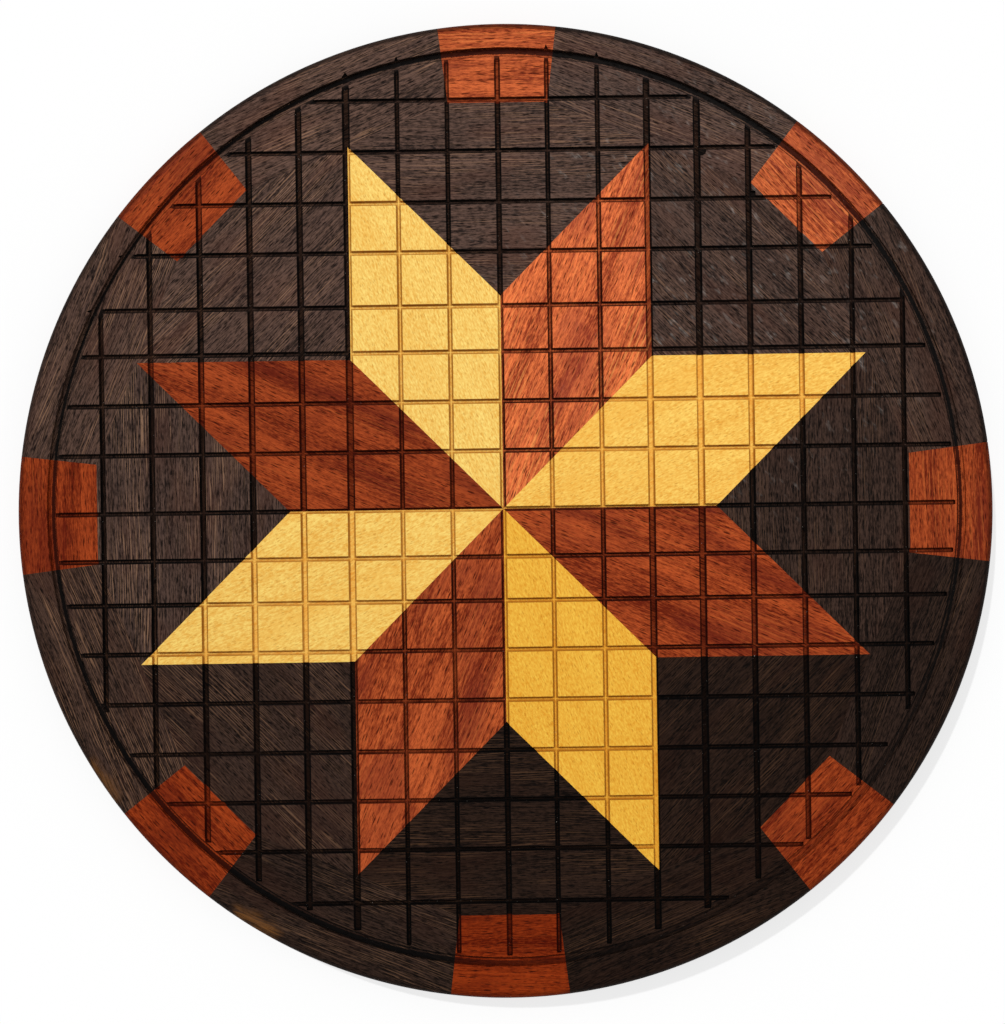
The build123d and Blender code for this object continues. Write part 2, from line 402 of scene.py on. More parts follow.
class RoutedCut(Effect):
    """Tells how near a point is to the wall of a groove, from the places of the grooves, and where painted
    shade and burn go.

    Attributes:
        skin: How far below the face a point counts as cut, in millimetres.
        below: How far below the deepest cut a point still counts as the face's, in millimetres.
        clear: How far outside every groove a cut counts as a slip of the cutter, in millimetres.
        rim_start: How far outside the ring groove's middle the rim starts, in millimetres.
        no_line: The distance that is given where no straight groove runs, in millimetres.
        slip_scorch_and_shade: How dark the slips are, with burn and painted shade in them.
        ring_less_shade: How much less painted shade the ring groove's floor gets than a column's, as a
            share.
        row_less_shade: The same for a row, which was cut in one pass.
    """

    skin = 0.15
    below = 0.6
    clear = 0.15
    rim_start = 11.0
    no_line = 40.0
    slip_scorch_and_shade = 0.9
    ring_less_shade = 0.75
    row_less_shade = 0.25

    def __init__(self, grid: RoutedGrid, top: float) -> None:
        """Builds the group.

        Args:
            grid: The grooves.
            top: Height of the playing face in millimetres.
        """
        outputs = {"Sunk": "Float", "Scorch": "Float", "Chipped": "Float"}
        super().__init__("routed_cut", {"Position": ("Vector", None)}, outputs)
        graph, position = self.graph, self.inputs["Position"]
        x, y, z = graph.apart(position)
        self.across = graph.minus(x, grid.ring_centre[0])
        self.up = graph.minus(y, grid.ring_centre[1])
        squares = graph.math("MULTIPLY_ADD", self.across, self.across, graph.times(self.up, self.up))
        self.radius = graph.math("SQRT", squares)
        self.torn = graph.noise(position, (0.8, 0.8, 0.8), 2.0, 0.6)
        out = graph.math("ABSOLUTE", graph.minus(self.radius, grid.ring_radius))
        ring_gap = graph.minus(out, grid.ring_width / 2)
        rows = tuple((distance, grid.cutter) for distance in grid.rows)
        column = self.line_gap(x, grid.centre[0], grid.pitch, grid.columns)
        row = self.line_gap(y, grid.centre[1], grid.pitch, rows)
        end = grid.ring_radius - grid.ring_width / 2
        outside = graph.fade(self.radius, end - 1.5, end - 0.5, 0.0, self.no_line)
        line_gap = graph.math("ADD", graph.math("MINIMUM", column, row), outside)
        gap = graph.math("MINIMUM", line_gap, ring_gap)
        inboard = graph.math("LESS_THAN", self.radius, grid.ring_radius + self.rim_start)
        routed = graph.math("GREATER_THAN", z, top - grid.deepest - self.below)
        cut = graph.times(graph.math("LESS_THAN", z, top - self.skin), routed, inboard)
        in_ring = graph.math("LESS_THAN", ring_gap, 0.05)
        # Painted shade and burn along the straight grooves' walls, darker in some stretches.
        uneven_darkening = graph.fade(graph.noise(position, (38.0, 38.0, 38.0), 2.0), 0.3, 0.62, 0.6, 1.0)
        lines = graph.times(self.line_scorch_and_shade(line_gap), uneven_darkening)
        # Painted shadow and burn in the ring groove.
        ring = graph.times(self.ring_shadow_and_burn(grid), in_ring)
        # Slips of the cutter: burn and painted shade in the recess.
        slips = graph.times(graph.math("GREATER_THAN", gap, self.clear), cut, self.slip_scorch_and_shade)
        face = graph.math("MAXIMUM", graph.math("MAXIMUM", lines, ring), slips)
        # Painted shade on the rounded edge, outside the grooves.
        rim = graph.times(self.rim_painted_shade(z, top), graph.minus(1.0, inboard))
        scorch_and_shade = graph.math("MAXIMUM", graph.times(face, routed), rim)
        # Painted shade on the groove floors, lighter in the ring groove and in the rows.
        ring_less_shade = graph.times(in_ring, self.ring_less_shade)
        row_less_shade = graph.times(graph.math("LESS_THAN", row, column), self.row_less_shade)
        darkened = graph.minus(1.0, graph.math("MAXIMUM", ring_less_shade, row_less_shade))
        edge = graph.fade(graph.math("ABSOLUTE", gap), 0.35, 0.0)
        chips = graph.times(edge, graph.fade(self.torn, 0.45, 0.62), graph.minus(routed, cut))
        self.give(Sunk=graph.times(cut, darkened), Scorch=scorch_and_shade, Chipped=chips)

    def ragged(self, distance: Socket, depth: float) -> Socket:
        """The distance made ragged by a depth in millimetres, so that a band's edge looks torn."""
        return self.graph.math("MULTIPLY_ADD", self.graph.minus(self.torn, 0.5), depth, distance)

    def towards(self, bearing: float) -> Socket:
        """How much a point lies towards a bearing in degrees, from -1 to 1."""
        graph, turn = self.graph, math.radians(bearing)
        along = graph.times(self.across, math.cos(turn))
        along = graph.math("MULTIPLY_ADD", self.up, math.sin(turn), along)
        return graph.math("DIVIDE", along, graph.math("MAXIMUM", self.radius, 1.0))

    def line_scorch_and_shade(self, gap: Socket) -> Socket:
        """Painted shade and burn: a dark ragged band on the floor along both walls, and a narrow one on the
        face outside.

        Args:
            gap: Distance to the wall, below 0 in the groove.

        Returns:
            How dark the place is.
        """
        graph = self.graph
        away = graph.math("MAXIMUM", graph.times(gap, 3.0), graph.times(gap, -1.0))
        return graph.fade(self.ragged(away, 0.7), 1.0, 0.45)

    def ring_shadow_and_burn(self, grid: RoutedGrid) -> Socket:
        """Painted shadow and burn in the ring groove: a dark band, and a thin dark line along its inner
        wall.

        The band lies at the outer wall at the top and bottom and further in at the sides, is narrow at the
        upper left and lower right, and fades towards the lower right, where the cut is shallow, as a cast
        shadow would.

        Args:
            grid: The grooves.

        Returns:
            How dark the place is.
        """
        graph = self.graph
        aside = graph.math("POWER", self.towards(0.0), 6.0)
        narrow = graph.times(graph.math("POWER", self.towards(135.0), 6.0), -0.55)
        inward = graph.minus(grid.ring_radius + grid.ring_width / 2, self.radius)
        middle = graph.math("MULTIPLY_ADD", aside, 1.1, graph.math("ADD", narrow, 1.4))
        half = graph.math("MULTIPLY_ADD", aside, -0.5, graph.math("ADD", narrow, 1.34))
        away = graph.minus(graph.math("ABSOLUTE", graph.minus(inward, middle)), half)
        band = graph.fade(self.ragged(away, 1.0), 0.3, -0.15)
        rest = graph.minus(grid.ring_width, inward)
        line = graph.fade(self.ragged(rest, 0.5), 1.3, 0.75, 0.0, 0.95)
        deep = graph.fade(self.towards(-58.0), 0.72, 1.0, 1.0, 0.45)
        return graph.times(graph.math("MAXIMUM", band, line), deep)

    def rim_painted_shade(self, height: Socket, top: float) -> Socket:
        """Painted shade on the rounded edge, strongest towards the upper right.

        Args:
            height: The point's height in millimetres.
            top: Height of the playing face in millimetres.

        Returns:
            How dark the place is.
        """
        graph = self.graph
        drop = graph.minus(top, height)
        round_edge = graph.fade(self.ragged(drop, 0.2), 0.05, 0.55)
        side = graph.fade(drop, 4.0, 8.0, 1.0, 0.25)
        share = graph.math("MULTIPLY_ADD", self.towards(65.0), 0.3, 0.55)
        return graph.times(round_edge, side, share)

    def line_gap(self, place: Socket, centre: float, pitch: float, lines: tuple) -> Socket:
        """How far a point is from the nearest straight groove's walls, below 0 in the groove.

        Args:
            place: The point's distance along the axis that the grooves cross.
            centre: Where their distances are measured from.
            pitch: The mean distance from groove to groove.
            lines: Each groove's distance and width.

        Returns:
            The distance to the wall.
        """
        graph = self.graph
        middle = len(lines) // 2
        count = graph.math("DIVIDE", graph.minus(place, centre), pitch)
        nearest = graph.math("MAXIMUM", graph.math("MINIMUM", count, middle), -middle)
        nearest = graph.math("ROUND", nearest)
        share = graph.math("DIVIDE", graph.math("ADD", nearest, middle + 0.5), len(lines))
        ramp = graph.add("ShaderNodeValToRGB", {0: share})
        ramp.color_ramp.interpolation = "CONSTANT"
        stops = ramp.color_ramp.elements
        while len(stops) < len(lines):
            stops.new(1.0)
        for index, stop in enumerate(stops):
            stop.position = index / len(lines)
        for index, (distance, width) in enumerate(lines):
            slip = distance / pitch - (index - middle) + 0.5
            stops[index].color = (slip, width / pitch, 0.0, 1.0)
        slip, width, _ = graph.apart(ramp.outputs[0])
        off = graph.minus(graph.minus(count, nearest), graph.minus(slip, 0.5))
        gap = graph.minus(graph.math("ABSOLUTE", off), graph.times(width, 0.5))
        return graph.times(gap, pitch)


class Handling(Effect):
    """Pale scuffs that handling leaves on a dark face, and specks of dust.

    Attributes:
        most_worn: The middle of the scuffed place, in millimetres.
        worn_reach: How far the scuffs reach from there, in millimetres.
        rub_turn: How far the scuffs' pattern is turned, in degrees.
    """

    most_worn = (110.0, 115.0, 23.0)
    worn_reach = 150.0
    rub_turn = 48.0

    def __init__(self) -> None:
        """Builds the group."""
        super().__init__("handling", {"Position": ("Vector", None)}, {"Scuffs": "Float", "Dust": "Float"})
        graph = self.graph
        place = self.inputs["Position"]
        away = graph.vector("DISTANCE", place, self.most_worn, result="Value")
        worn = graph.fade(away, self.worn_reach, self.worn_reach * 0.4)
        turn = math.radians(self.rub_turn)
        turned = graph.add("ShaderNodeVectorRotate", {"Vector": place, "Angle": turn}).outputs[0]
        rubs = graph.fade(graph.noise(turned, (7.0, 3.0, 3.0), 2.0), 0.58, 0.78)
        strokes = graph.fade(graph.noise(turned, (4.0, 0.8, 0.8), 2.0), 0.48, 0.7, 0.3, 1.0)
        specks = graph.fade(graph.noise(place, (0.7, 0.7, 0.7), 1.0), 0.75, 0.83)
        self.give(Scuffs=graph.times(rubs, strokes, worn), Dust=specks)


class Sapwood(Effect):
    """A short pale streak at the rim's upper edge where a block runs out into the sapwood."""

    def __init__(self, top: float) -> None:
        """Builds the group.

        Args:
            top: Height of the playing face in millimetres.
        """
        inputs = {
            "Position": ("Vector", None), "Along": ("Vector", None),
            "Middle": ("Vector", None), "Reach": ("Float", 0.0),
        }
        super().__init__("sapwood", inputs, {"Pale": "Float"})
        graph = self.graph
        place = self.inputs["Position"]
        flat = graph.vector("MULTIPLY", place, (1.0, 1.0, 0.0))
        middle = self.inputs["Middle"]
        away = graph.vector("DISTANCE", flat, middle, result="Value")
        radius = graph.vector("LENGTH", flat, result="Value")
        start = graph.vector("LENGTH", middle, result="Value")
        wander = graph.drift(place, (14.0, 14.0, 14.0), 3.0)
        depth = graph.minus(graph.math("MULTIPLY_ADD", wander, 9.0, radius), start)
        length = graph.math("MULTIPLY_ADD", wander, 12.0, away)
        reach = self.inputs["Reach"]
        long = graph.fade(length, reach, graph.times(reach, 0.6))
        drop = graph.minus(top, graph.apart(place)[2])
        ragged = graph.drift(place, (9.0, 9.0, 1.5), 2.0)
        upper = graph.fade(graph.math("MULTIPLY_ADD", ragged, 6.0, drop), 9.0, 2.5)
        streak = graph.times(graph.fade(depth, -4.0, 3.0), long)
        fibres = graph.noise(self.inputs["Along"], (14.0, 0.9, 0.9), 2.0, 0.7)
        grained = graph.times(upper, graph.fade(fibres, 0.38, 0.62, 0.2, 1.0))
        self.give(Pale=graph.times(streak, grained))


@dataclass(frozen=True)
class Timber:
    """How one kind of wood looks when planed, oiled and routed.

    Attributes:
        slot: The record's material slot.
        dark: The darkest tone of the figure.
        light: The lightest tone of the figure.
        line: Colour of the thin lines along the grain.
        patch: Colour of the broad patches.
        pore: Colour of the open pores.
        floor: What a groove's floor multiplies the wood's colour by, as painted shade in the groove.
        scorch_and_shade: Colour of the burn and painted shade along a groove's walls, in the ring groove
            and on the rounded edge.
        figure: The figure's values in the timber group.
        scorch_and_shade_strength: How strong that burn and painted shade are.
        scuffs: How much the scuffs show.
        lined: Towards which side of the board its planks with the most lines lie, in degrees.
        painted_light_bearing: Towards which side of the board painted light makes its planks paler, in
            degrees.
        painted_light_spread: How much paler and darker that painted light makes the planks, as a share.
        few: How few planks the painted light makes pale: 1 gives as many pale as dark ones.
        follows: How strongly red, green and blue follow a plank's tone.
    """

    slot: str
    dark: Colour
    light: Colour
    line: Colour
    patch: Colour
    pore: Colour
    floor: Colour
    scorch_and_shade: Colour
    figure: dict[str, float]
    scorch_and_shade_strength: float
    scuffs: float
    lined: float
    painted_light_bearing: float
    painted_light_spread: float
    few: float
    follows: tuple[float, float, float] = (1.0, 1.0, 1.0)

    def plank(self, outward: float, seed: int, odd: float) -> "Timber":
        """The wood of one plank, paler or darker than the mean, with painted light that makes planks paler
        towards one side of the board.

        Args:
            outward: Direction in which the piece lies from the centre, in degrees.
            seed: Which plank of the stack it is.
            odd: How much paler it is than its place makes it, as a share.

        Returns:
            The same wood with its tones and lines changed.
        """
        draw = random.Random(seed)
        toward = (1.0 + math.cos(math.radians(outward - self.lined))) / 2
        lines = self.figure["Lines"] * (0.45 + 0.55 * toward ** 2)
        # Painted light: planks towards one side of the board are paler and those opposite darker, apart
        # from a little random tone.
        near = (1.0 + math.cos(math.radians(outward - self.painted_light_bearing))) / 2
        swing = self.painted_light_spread * (2.0 * near ** self.few - 1.0) + 0.05 * draw.uniform(-1.0, 1.0) + odd
        warmth = 0.03 * draw.uniform(-1.0, 1.0)
        red, green, blue = (1.0 + follow * swing for follow in self.follows)
        share = (red * (1 + warmth), green, blue * (1 - warmth), 1.0)
        toned = {
            name: tuple(min(channel * part, 1.0) for channel, part in zip(colour, share))
            for name, colour in self.tones().items()
        }
        return replace(self, figure=self.figure | {"Lines": lines}, **toned)

    def tones(self) -> dict[str, Colour]:
        """The colours that follow a plank's tone, by name."""
        return {name: getattr(self, name) for name in ("dark", "light", "line", "patch", "pore")}


WENGE = Timber(
    slot="wenge",
    dark=screen(20, 13, 11),
    light=screen(74, 55, 47),
    line=screen(136, 102, 78),
    patch=screen(68, 42, 33),
    pore=screen(6, 4, 4),
    floor=screen(135, 124, 114),
    scorch_and_shade=screen(5, 4, 4),
    figure={
        "Waviness": 9.0, "Figure": 0.35, "Band Pitch": 1.1, "Bands": 0.6, "Fibres": 1.3,
        "Mottle": 0.5, "Lines": 0.72, "Line Pitch": 1.15, "Patches": 0.4,
        "Pore Length": 6.0, "Pore Width": 0.9, "Pores": 0.9,
    },
    scorch_and_shade_strength=0.97,
    scuffs=0.6,
    lined=225.0,
    painted_light_bearing=112.0,
    painted_light_spread=0.67,
    few=1.0,
    follows=(1.0, 1.05, 1.1),
)

PADAUK = Timber(
    slot="padauk",
    dark=screen(111, 36, 16),
    light=screen(202, 97, 50),
    line=screen(228, 128, 66),
    patch=screen(118, 44, 30),
    pore=screen(60, 15, 7),
    floor=screen(182, 172, 166),
    scorch_and_shade=screen(42, 8, 3),
    figure={
        "Waviness": 12.0, "Figure": 0.7, "Band Pitch": 1.7, "Bands": 0.5, "Fibres": 0.95,
        "Mottle": 0.35, "Lines": 0.45, "Line Pitch": 2.6, "Patches": 0.5,
        "Pore Length": 7.0, "Pore Width": 0.9, "Pores": 0.85,
    },
    scorch_and_shade_strength=0.95,
    scuffs=0.08,
    lined=60.0,
    painted_light_bearing=70.0,
    painted_light_spread=0.28,
    few=3.0,
    follows=(1.3, 1.9, 2.3),
)

YELLOWHEART = Timber(
    slot="yellowheart",
    dark=screen(232, 168, 66),
    light=screen(255, 215, 112),
    line=screen(255, 220, 126),
    patch=screen(244, 184, 78),
    pore=screen(200, 138, 50),
    floor=screen(250, 238, 222),
    scorch_and_shade=screen(170, 106, 28),
    figure={
        "Waviness": 14.0, "Figure": 0.25, "Band Pitch": 2.2, "Bands": 0.15, "Fibres": 0.45,
        "Mottle": 0.8, "Lines": 0.1, "Line Pitch": 3.0, "Patches": 0.3,
        "Pore Length": 3.2, "Pore Width": 0.9, "Pores": 0.5,
    },
    scorch_and_shade_strength=0.85,
    scuffs=0.03,
    lined=0.0,
    painted_light_bearing=110.0,
    painted_light_spread=0.1,
    few=1.0,
    follows=(0.2, 1.0, 3.2),
)


def new_material(name: str) -> tuple[bpy.types.Material, Graph, bpy.types.Node]:
    """Makes a material.

    Args:
        name: Its name.

    Returns:
        The material, the graph of its nodes, and its shader.
    """
    material = bpy.data.materials.new(name)
    material.use_nodes = True
    return material, Graph(material.node_tree), material.node_tree.nodes["Principled BSDF"]


def board_position(graph: Graph) -> Socket:
    """A point's place on the board in millimetres."""
    coordinates = graph.add("ShaderNodeTexCoord").outputs["Object"]
    node = graph.add("ShaderNodeVectorMath", {0: coordinates, "Scale": 1 / MILLIMETRE}, operation="SCALE")
    return node.outputs[0]


@dataclass(frozen=True)
class Ply:
    """Plywood of the hidden tongues: thin layers, turn about light and darker.

    Attributes:
        slot: The record's material slot.
        face: Colour of the light layers.
        core: Colour of the darker layers.
        layer: Thickness of a layer, in millimetres.
        fibre_depth: Depth of the furrows between the fibres, in millimetres.
    """

    slot: str = "birch_plywood"
    face: Colour = screen(206, 176, 134)
    core: Colour = screen(160, 122, 82)
    layer: float = 1.3
    fibre_depth: float = 0.05

    def material(self) -> bpy.types.Material:
        """Makes the plywood's material."""
        material, graph, shader = new_material(self.slot)
        place = board_position(graph)
        height = graph.apart(place)[2]
        layers = graph.math("PINGPONG", height, self.layer)
        layers = graph.fade(layers, 0.35 * self.layer, 0.65 * self.layer)
        fibres = graph.noise(place, (9.0, 0.5, 0.5), 2.0)
        tone = graph.math("MULTIPLY_ADD", graph.minus(fibres, 0.5), 0.8, layers, clamp=True)
        graph.feed(shader.inputs["Base Color"], graph.mix(tone, self.face, self.core))
        shader.inputs["Roughness"].default_value = 0.75
        graph.bump(shader, fibres, self.fibre_depth)
        return material


@dataclass(frozen=True)
class Rubber:
    """Black moulded rubber with a fine grained skin and a little pale dust.

    Attributes:
        slot: The record's material slot.
        black: Colour of the rubber.
        dust: Colour of the dust on it.
        grain_depth: Depth of the skin's grain, in millimetres.
    """

    slot: str = "black_rubber"
    black: Colour = screen(26, 26, 27)
    dust: Colour = screen(92, 88, 82)
    grain_depth: float = 0.06

    def material(self) -> bpy.types.Material:
        """Makes the rubber's material."""
        material, graph, shader = new_material(self.slot)
        place = board_position(graph)
        skin = graph.noise(place, (0.35, 0.35, 0.35), 2.0)
        dust = graph.fade(graph.noise(place, (3.0, 3.0, 3.0), 4.0, 0.65), 0.5, 0.75, 0.0, 0.35)
        graph.feed(shader.inputs["Base Color"], graph.mix(dust, self.black, self.dust))
        graph.feed(shader.inputs["Roughness"], graph.fade(skin, 0.3, 0.7, 0.62, 0.8))
        graph.bump(shader, skin, self.grain_depth)
        return material


class TimberShop:
    """Makes the material of each wooden piece, with its own grain direction and its own cut of the log.

    Attributes:
        oil_roughness: Roughness of the oiled face.
        oil_specular: Specular level of the oiled face.
        rougher: How much rougher the pores and the groove floors are.
        chip_depth: Depth of the chips along the grooves' edges, in millimetres.
        scuff: Colour of the scuffs.
        dust: Colour of the dust in the grooves.
        dust_share: How much the dust covers.
        sap: Colour of the sapwood.
        sap_share: How much it covers.
        sap_reach: How far a streak of it reaches from its middle, in millimetres.
        next_cut: How far one piece's place in the log lies from the next one's, in millimetres.
    """

    oil_roughness = 0.45
    oil_specular = 0.03
    rougher = 0.25
    chip_depth = 0.25
    scuff = screen(150, 142, 136)
    dust = screen(190, 182, 172)
    dust_share = 0.5
    sap = screen(150, 98, 50)
    sap_share = 0.6
    sap_reach = 15.0
    next_cut = Vector((331.0, 97.0, 61.0))

    def __init__(self, grid: RoutedGrid, top: float) -> None:
        """Builds the shared effects.

        Args:
            grid: The grooves.
            top: Height of the playing face in millimetres.
        """
        self.timber = PlanedTimber()
        self.cut = RoutedCut(grid, top)
        self.handling = Handling()
        self.sapwood = Sapwood(top)

    def material(self, wood: Timber, name: str, grain: float, seed: int, sap: Vector) -> bpy.types.Material:
        """Makes one piece's material.

        Args:
            wood: The wood of its plank.
            name: The piece's name.
            grain: Direction of the grain, in degrees from the board's X axis.
            seed: Which part of the log the piece comes from.
            sap: Middle of its streak of sapwood, in millimetres, or the board's centre if it has none.

        Returns:
            The material.
        """
        material, graph, shader = new_material(wood.slot + "_" + name)
        position = board_position(graph)
        turn = (0.0, 0.0, -math.radians(grain))
        turned = {"Vector": position, "Location": self.next_cut * seed, "Rotation": turn}
        along = graph.add("ShaderNodeMapping", turned).outputs[0]
        tones = {title.capitalize(): tone for title, tone in wood.tones().items()}
        timber = self.timber.place(graph, {"Vector": along, **wood.figure, **tones}).outputs
        cut = self.cut.place(graph, {"Position": position}).outputs
        handling = self.handling.place(graph, {"Position": position}).outputs
        reach = self.sap_reach if sap.length else 0.0
        streak = {"Position": position, "Along": along, "Middle": sap, "Reach": reach}
        pale = self.sapwood.place(graph, streak).outputs["Pale"]
        colour = graph.mix(graph.times(pale, self.sap_share), timber["Colour"], self.sap)
        colour = graph.mix(graph.times(handling["Scuffs"], wood.scuffs), colour, self.scuff)
        # Painted shade in the grooves: the floor tone multiplies the wood's colour there.
        colour = graph.mix(cut["Sunk"], colour, graph.mix(1.0, colour, wood.floor, "MULTIPLY"))
        # Burn, and painted shade along the grooves' walls, in the ring groove and on the rounded edge.
        colour = graph.mix(graph.times(cut["Scorch"], wood.scorch_and_shade_strength), colour, wood.scorch_and_shade)
        dusty = graph.times(handling["Dust"], cut["Sunk"], self.dust_share)
        graph.feed(shader.inputs["Base Color"], graph.mix(dusty, colour, self.dust))
        rough = graph.math("MULTIPLY_ADD", timber["Open"], self.rougher, self.oil_roughness)
        rough = graph.math("MULTIPLY_ADD", cut["Sunk"], self.rougher, rough)
        graph.feed(shader.inputs["Roughness"], rough)
        shader.inputs["Specular IOR Level"].default_value = self.oil_specular
        chips = graph.times(cut["Chipped"], -self.chip_depth)
        graph.bump(shader, graph.math("ADD", timber["Height"], chips), 1.0)
        return material


def give_material(piece: bpy.types.Object, material: bpy.types.Material) -> None:
    """Dresses a piece in one material all over."""
    piece.data.materials.clear()
    piece.data.materials.append(material)


def deselect() -> None:
    """Leaves object mode with nothing selected."""
    if bpy.context.mode != "OBJECT":
        bpy.ops.object.mode_set(mode="OBJECT")
    bpy.ops.object.select_all(action="DESELECT")


def make_active(piece: bpy.types.Object) -> None:
    """Selects one piece alone and makes it the active one."""
    deselect()
    piece.select_set(True)
    bpy.context.view_layer.objects.active = piece


def finish_mesh(piece: bpy.types.Object, angle: float) -> None:
    """Shades a piece smooth up to an angle in degrees, with its flat faces left flat."""
    make_active(piece)
    bpy.ops.object.shade_smooth_by_angle(angle=math.radians(angle))
    piece.modifiers.new("flat_faces", "WEIGHTED_NORMAL").keep_sharp = True
    bpy.ops.object.modifier_apply(modifier="flat_faces")


def stand_for(piece: bpy.types.Object, node: str) -> None:
    """Hides a node's part and puts a piece on the root body to show in its place."""
    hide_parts(node)
    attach(piece, "root")


@dataclass
class Board:
    """The glued-up wooden board: star points, infill blocks, rim blocks and keystones.

    Attributes:
        sides: Names of the infill blocks and keystones, by sector.
        between: Names of the star points and rim blocks, by sector.
        sector: Angle of a sector in degrees.
        radius: The board's radius, in metres.
        roundover: Radius of the rim's rounded top edge, in metres.
        flats: In how many flats the solids have that rounded edge.
        softened: How far from each corner between those flats it is rounded, in metres.
        sapwood: The rim blocks with a streak of sapwood, its bearing in degrees and radius in millimetres.
        odd: Pieces from a paler or darker plank than their neighbours, and how much paler, as a share.
        grid: The grooves.
    """

    sides: tuple[str, ...] = (
        "east", "northeast", "north", "northwest", "west", "southwest", "south", "southeast",
    )
    between: tuple[str, ...] = ("ene", "nne", "nnw", "wnw", "wsw", "ssw", "sse", "ese")
    sector: float = 45.0
    radius: float = 247.3 * MILLIMETRE
    roundover: float = 4.0 * MILLIMETRE
    flats: int = 2
    softened: float = 1.45 * MILLIMETRE
    sapwood: dict[str, tuple[float, float]] = field(
        default_factory=lambda: {
            "rim_block_wsw_rounded": (213.0, 243.0), "rim_block_ssw_rounded": (238.0, 241.0),
        }
    )
    odd: dict[str, float] = field(
        default_factory=lambda: {
            "star_point_red_ssw": 0.22, "star_point_red_ese": 0.07, "star_point_red_nne": 0.08,
            "star_point_yellow_wsw": 0.04, "star_point_yellow_sse": -0.06,
            "keystone_north_rounded": -0.2, "keystone_northwest_rounded": -0.16,
            "keystone_south_rounded": -0.1,
        }
    )
    grid: RoutedGrid = field(default_factory=RoutedGrid)

    def __post_init__(self) -> None:
        """Reads the playing face's height from the frame and builds the shop of materials."""
        self.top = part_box("star_point_yellow_ene")[1].z
        self.shop = TimberShop(self.grid, self.top / MILLIMETRE)

    def dress(
        self, piece: bpy.types.Object, wood: Timber, outward: float, grain: Direction, seed: int
    ) -> None:
        """Gives one wooden piece its material.

        Args:
            piece: The piece, named as its node or after it.
            wood: Its wood.
            outward: Direction in which the piece lies from the centre, in degrees.
            grain: Which way its grain runs.
            seed: Which part of the log it comes from.
        """
        bearing, radius = self.sapwood.get(piece.name, (0.0, 0.0))
        turn = math.radians(bearing)
        sap = Vector((radius * math.cos(turn), radius * math.sin(turn), 0.0))
        plank = wood.plank(outward, seed, self.odd.get(piece.name, 0.0))
        give_material(piece, self.shop.material(plank, piece.name, outward + grain.value, seed, sap))
        log.info("dressed %s in %s", piece.name, wood.slot)

    def on_corner(self, point: Vector, corner: int) -> bool:
        """Whether a point lies on a corner of the roundover's flats, the side's being corner 0."""
        turn = math.radians(90 * corner / self.flats)
        radius = self.radius - self.roundover + self.roundover * math.cos(turn)
        height = self.top - self.roundover + self.roundover * math.sin(turn)
        near = 0.02 * MILLIMETRE
        return abs(point.z - height) < near and abs(math.hypot(point.x, point.y) - radius) < near

    def rounded(self, node: str) -> bpy.types.Object:
        """Rounds the corners between the roundover's flats, on a copy of a rim piece.

        Args:
            node: The rim piece's node.

        Returns:
            The copy, which stands for the node.
        """
        solid = frame["nodes"][node]
        deselect()
        piece = solid.copy()
        piece.data = solid.data.copy()
        piece.name = piece.data.name = node + "_rounded"
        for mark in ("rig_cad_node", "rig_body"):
            del piece[mark]
        bpy.context.scene.collection.objects.link(piece)
        make_active(piece)
        # The solid's own corner normals don't fit once its faces are merged.
        bpy.ops.mesh.customdata_custom_splitnormals_clear()
        bpy.ops.object.mode_set(mode="EDIT")
        bpy.ops.mesh.select_all(action="SELECT")
        bpy.ops.mesh.remove_doubles(threshold=0.001 * MILLIMETRE)
        bpy.ops.mesh.dissolve_limited(angle_limit=math.radians(0.4))
        bpy.ops.mesh.select_all(action="DESELECT")
        bpy.ops.object.mode_set(mode="OBJECT")
        points = [vertex.co for vertex in piece.data.vertices]
        corners = range(self.flats + 1)
        for edge in piece.data.edges:
            ends = [points[index] for index in edge.vertices]
            edge.select = any(all(self.on_corner(end, corner) for end in ends) for corner in corners)
        bpy.ops.object.mode_set(mode="EDIT")
        bpy.ops.mesh.select_mode(type="EDGE")
        bpy.ops.mesh.bevel(offset=self.softened, segments=4, profile=0.5)
        bpy.ops.object.mode_set(mode="OBJECT")
        finish_mesh(piece, 30.0)
        stand_for(piece, node)
        log.info("rounded %s: %d faces", node, len(piece.data.polygons))
        return piece

    def build(self) -> None:
        """Shapes the rim and dresses every wooden piece."""
        for index, (side, between) in enumerate(zip(self.sides, self.between)):
            middle = index * self.sector
            aside = middle + self.sector / 2
            wood = (YELLOWHEART, PADAUK)[index % 2]
            point = "star_point_" + ("yellow_", "red_")[index % 2] + between
            block = self.rounded("rim_block_" + between)
            keystone = self.rounded("keystone_" + side)
            self.dress(frame["nodes"][point], wood, aside, Direction.OUTWARD, index + 1)
            self.dress(frame["nodes"]["infill_" + side], WENGE, middle, Direction.ACROSS, index + 11)
            self.dress(block, WENGE, aside, Direction.ACROSS, index + 21)
            self.dress(keystone, PADAUK, middle, Direction.ACROSS, index + 31)


@dataclass
class Tongues:
    """The plywood tongues in the joints."""

    nodes: tuple[str, ...] = (
        "tongues_between_points", "tongues_point_to_infill",
        "tongues_infill_to_rim_block", "tongues_infill_to_keystone",
    )

    def build(self) -> None:
        """Dresses the tongues."""
        ply = Ply().material()
        for node in self.nodes:
            give_material(frame["nodes"][node], ply)
            log.info("dressed %s", node)


